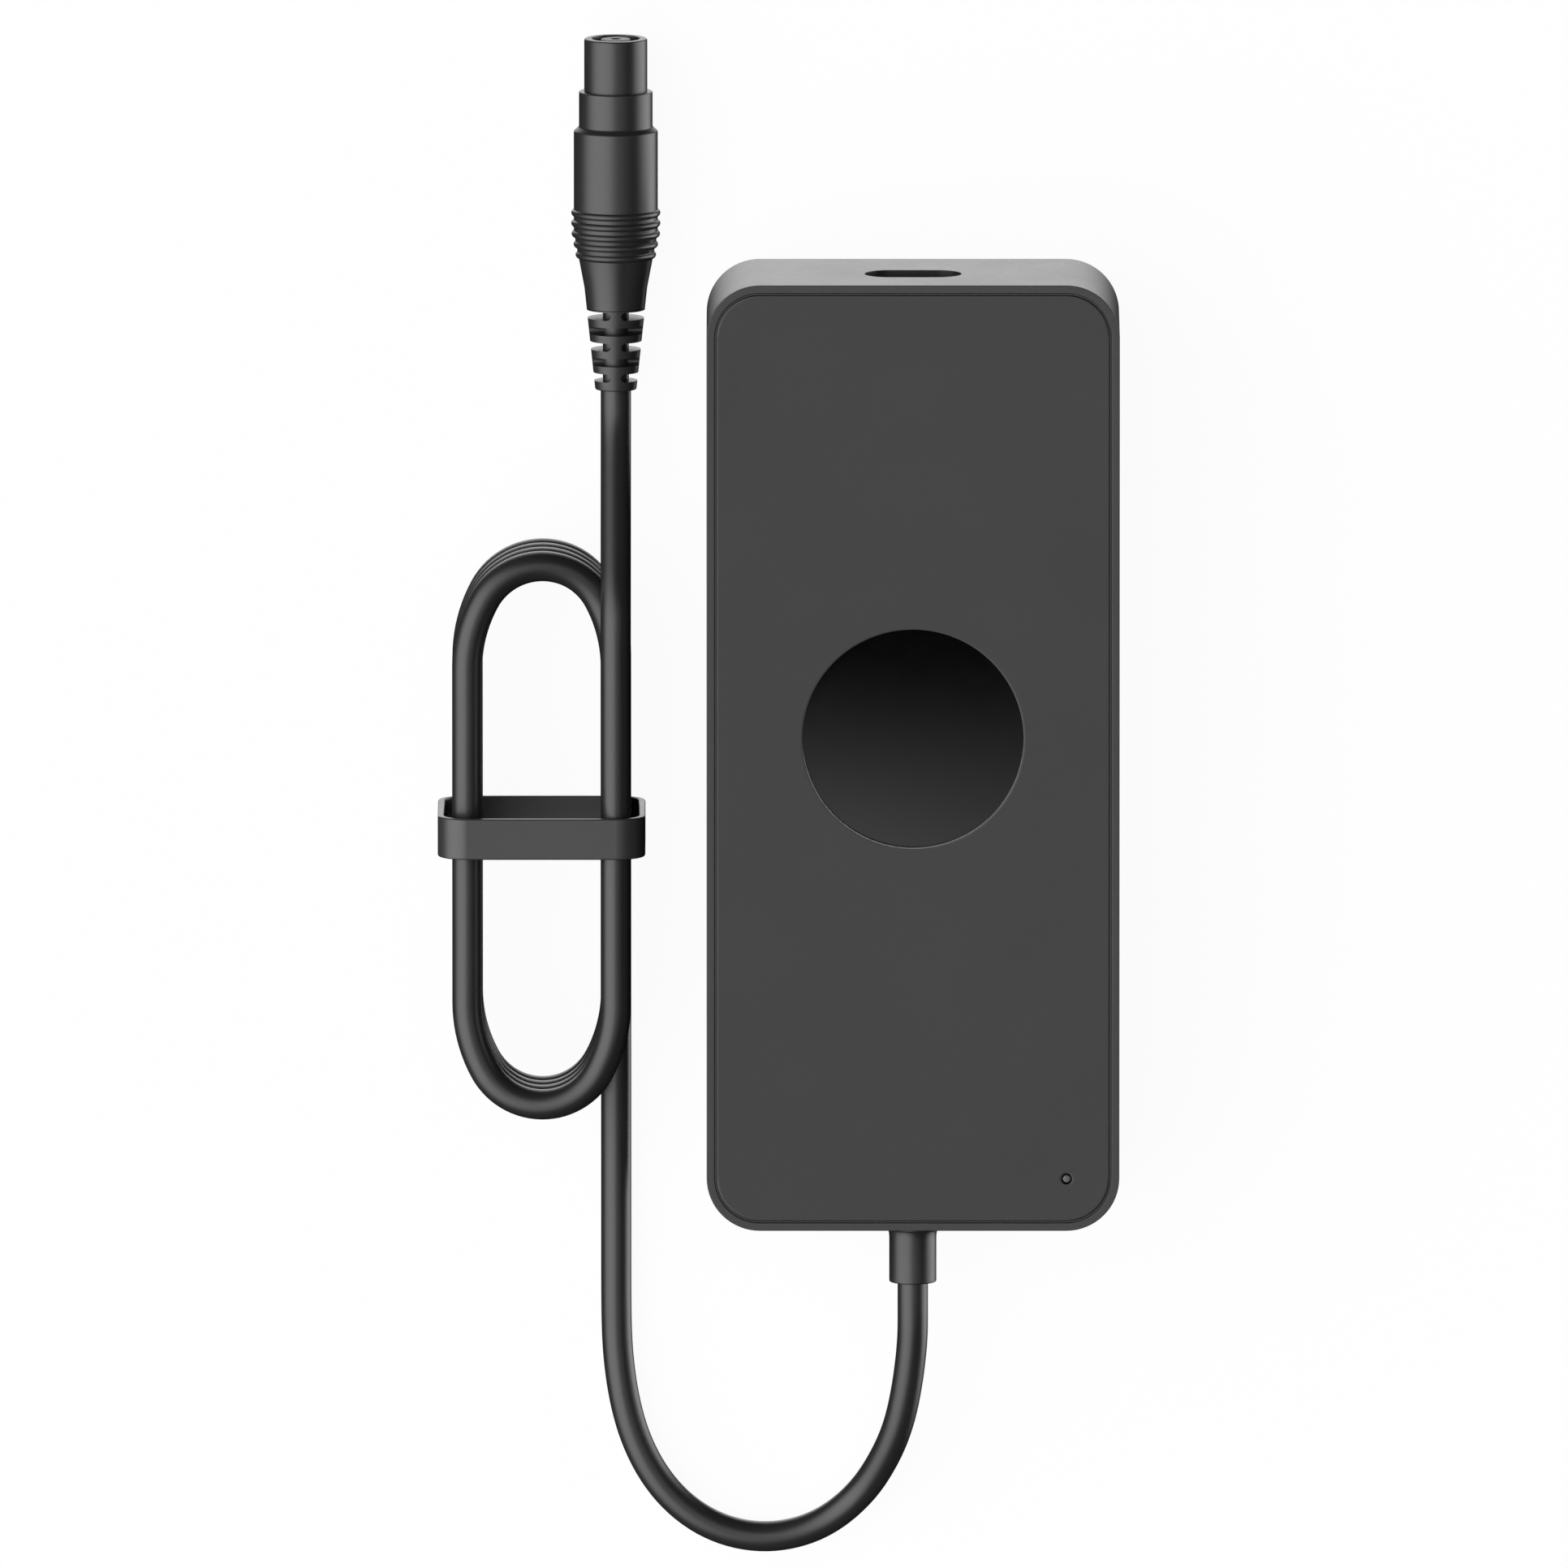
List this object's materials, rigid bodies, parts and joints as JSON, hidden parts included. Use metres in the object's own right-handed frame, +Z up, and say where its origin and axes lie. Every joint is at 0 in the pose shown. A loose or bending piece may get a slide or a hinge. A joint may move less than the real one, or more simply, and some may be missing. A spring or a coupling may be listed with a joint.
{
  "type": "laptop power adapter",
  "caption": "Slim laptop power adapter with a figure-eight mains inlet, a hanked output cord held by a sliding band, and a barrel plug.",
  "frame": {"origin": "centre of the case's underside, on the table that it lies on", "axes": "+Z up out of the front cover, +Y towards the mains inlet, -Y towards the output cord, +X across the case; the hank and plug lie on the -X side"},
  "size_m": [0.1074, 0.242, 0.0305],
  "materials": {
    "case_plastic": "fine satin moulded black-grey plastic, slightly paler on the faces than a true black",
    "cover_plastic": "fine satin moulded plastic, the same as the tub",
    "badge_gloss": "polished black plastic, left bare",
    "light_pipe": "frosted grey acrylic, unlit",
    "inlet_plastic": "black glass-filled nylon",
    "pin_metal": "nickel-plated brass",
    "soft_plastic": "satin flexible moulding",
    "cord_jacket": "satin PVC jacket",
    "plug_plastic": "satin moulded plug body",
    "plug_core_plastic": "paler grey moulded core",
    "contact_metal": "plated spring contact",
    "board_laminate": "green glass-epoxy board",
    "sheet_film": "translucent insulating film",
    "steel_plated": "zinc-plated steel",
    "sink_aluminium": "plain rolled aluminium",
    "package_black": "black epoxy package",
    "package_pale": "white epoxy package",
    "cap_film": "yellow film capacitor case",
    "cap_disc": "blue lacquered ceramic",
    "cap_sleeve": "dark shrink sleeve",
    "ferrite": "dark sintered ferrite",
    "winding": "enamelled copper wire",
    "tape_yellow": "yellow polyester tape over the winding",
    "fuse_glass": "glass fuse tube",
    "wire_insulation": "PVC-insulated wire",
    "led_epoxy": "diffused LED epoxy"
  },
  "bodies": {
    "adapter": {"case_tub": "case_plastic", "front_cover": "cover_plastic", "badge_disc": "badge_gloss", "light_pipe": "light_pipe", "inlet_housing": "inlet_plastic", "inlet_pins": "pin_metal", "insulating_sheet": "sheet_film", "circuit_board": "board_laminate", "board_screws": "steel_plated", "fuse": "fuse_glass", "x_capacitor": "cap_film", "choke_core": "ferrite", "choke_windings": "winding", "bridge_rectifier": "package_black", "bulk_capacitor": "cap_sleeve", "primary_heatsink": "sink_aluminium", "switching_transistor": "package_black", "transformer_core": "ferrite", "transformer_winding": "tape_yellow", "y_capacitor": "cap_disc", "controller_chip": "package_black", "optocoupler": "package_pale", "secondary_heatsink": "sink_aluminium", "output_rectifier": "package_black", "output_capacitors": "cap_sleeve", "output_choke": "winding", "indicator_led": "led_epoxy", "heat_spreader": "sink_aluminium", "output_leads": "wire_insulation", "cable_gland": "soft_plastic", "cord_lead": "cord_jacket", "cord_hank": "cord_jacket", "cord_tail": "cord_jacket", "plug_nose": "plug_plastic", "plug_barrel_contact": "contact_metal", "plug_core": "plug_core_plastic", "plug_centre_contact": "contact_metal", "plug_body": "plug_plastic", "plug_boot": "soft_plastic"},
    "keeper": {"hank_band": "soft_plastic"}
  },
  "joints": [
    {"name": "keeper_slide", "type": "slide", "parent": "adapter", "child": "keeper", "axis": [0, 1, 0], "range_m": [-0.018, 0.018]}
  ]
}
